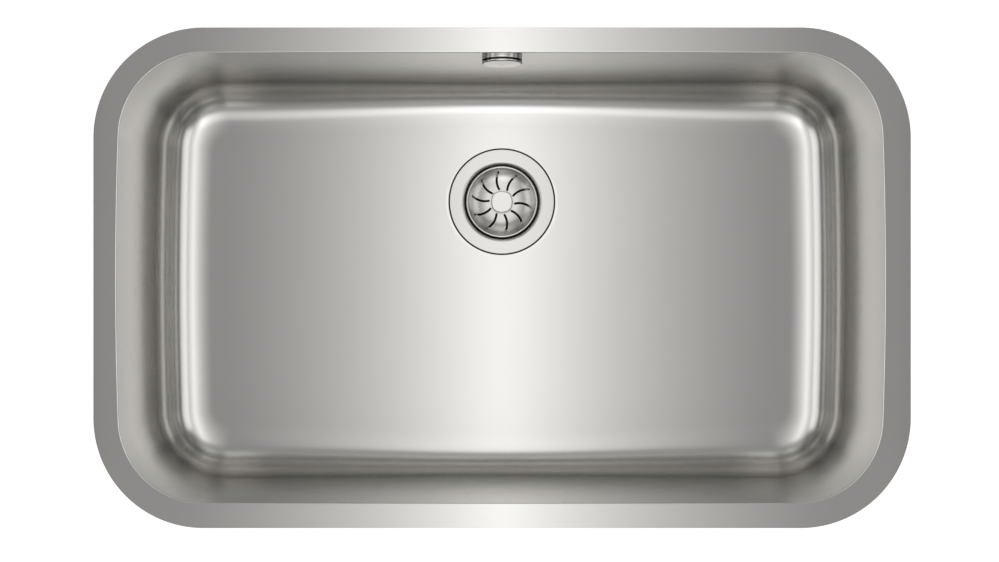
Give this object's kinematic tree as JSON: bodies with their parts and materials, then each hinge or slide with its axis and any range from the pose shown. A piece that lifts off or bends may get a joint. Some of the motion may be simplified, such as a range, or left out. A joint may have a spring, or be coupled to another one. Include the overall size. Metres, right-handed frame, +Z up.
{
  "type": "undermount kitchen sink",
  "caption": "Undermount kitchen sink: one deep-drawn steel bowl with a flat flange, a basket strainer waste in its floor and a round overflow in its back wall.",
  "frame": {"origin": "centre of the flange's outline, on the flange's top face", "axes": "+X along the length, to the right; +Y to the back wall, which holds the overflow; +Z up out of the bowl"},
  "size_m": [0.787, 0.4826, 0.2982],
  "materials": {
    "steel": "satin",
    "polished_steel": "polished",
    "brass": "machined",
    "seal_rubber": "matt",
    "pad_rubber": "matt",
    "body_plastic": "moulded",
    "hose_plastic": "blown",
    "sleeve_nylon": "moulded"
  },
  "bodies": {
    "sink": {"bowl": "steel", "sound_pad": "pad_rubber", "waste_cup": "polished_steel", "flange_seal": "seal_rubber", "body_seal": "seal_rubber", "waste_body": "body_plastic", "insert_nut": "brass", "centre_screw": "polished_steel", "overflow_base": "polished_steel", "overflow_cap": "polished_steel", "overflow_screw": "polished_steel", "overflow_seal": "seal_rubber", "overflow_elbow": "body_plastic", "overflow_insert": "brass", "overflow_hose": "hose_plastic", "hose_clamp": "polished_steel", "clamp_screw": "polished_steel", "cone_seal": "seal_rubber", "inlet_nut": "body_plastic"},
    "sleeve": {"detent_sleeve": "sleeve_nylon", "detent_ring": "seal_rubber"},
    "strainer": {"basket": "polished_steel", "knob": "polished_steel", "stem": "polished_steel", "stopper_seal": "seal_rubber", "stopper_washer": "polished_steel", "stem_nut": "brass"}
  },
  "joints": [
    {"name": "strainer_lift", "type": "slide", "parent": "sink", "child": "sleeve", "axis": [0, 0, 1], "range_m": [0, 0.25]},
    {"name": "strainer_turn", "type": "hinge", "parent": "sleeve", "child": "strainer", "pos_m": [0, 0.083, -0.22], "axis": [0, 0, 1], "continuous": true}
  ]
}
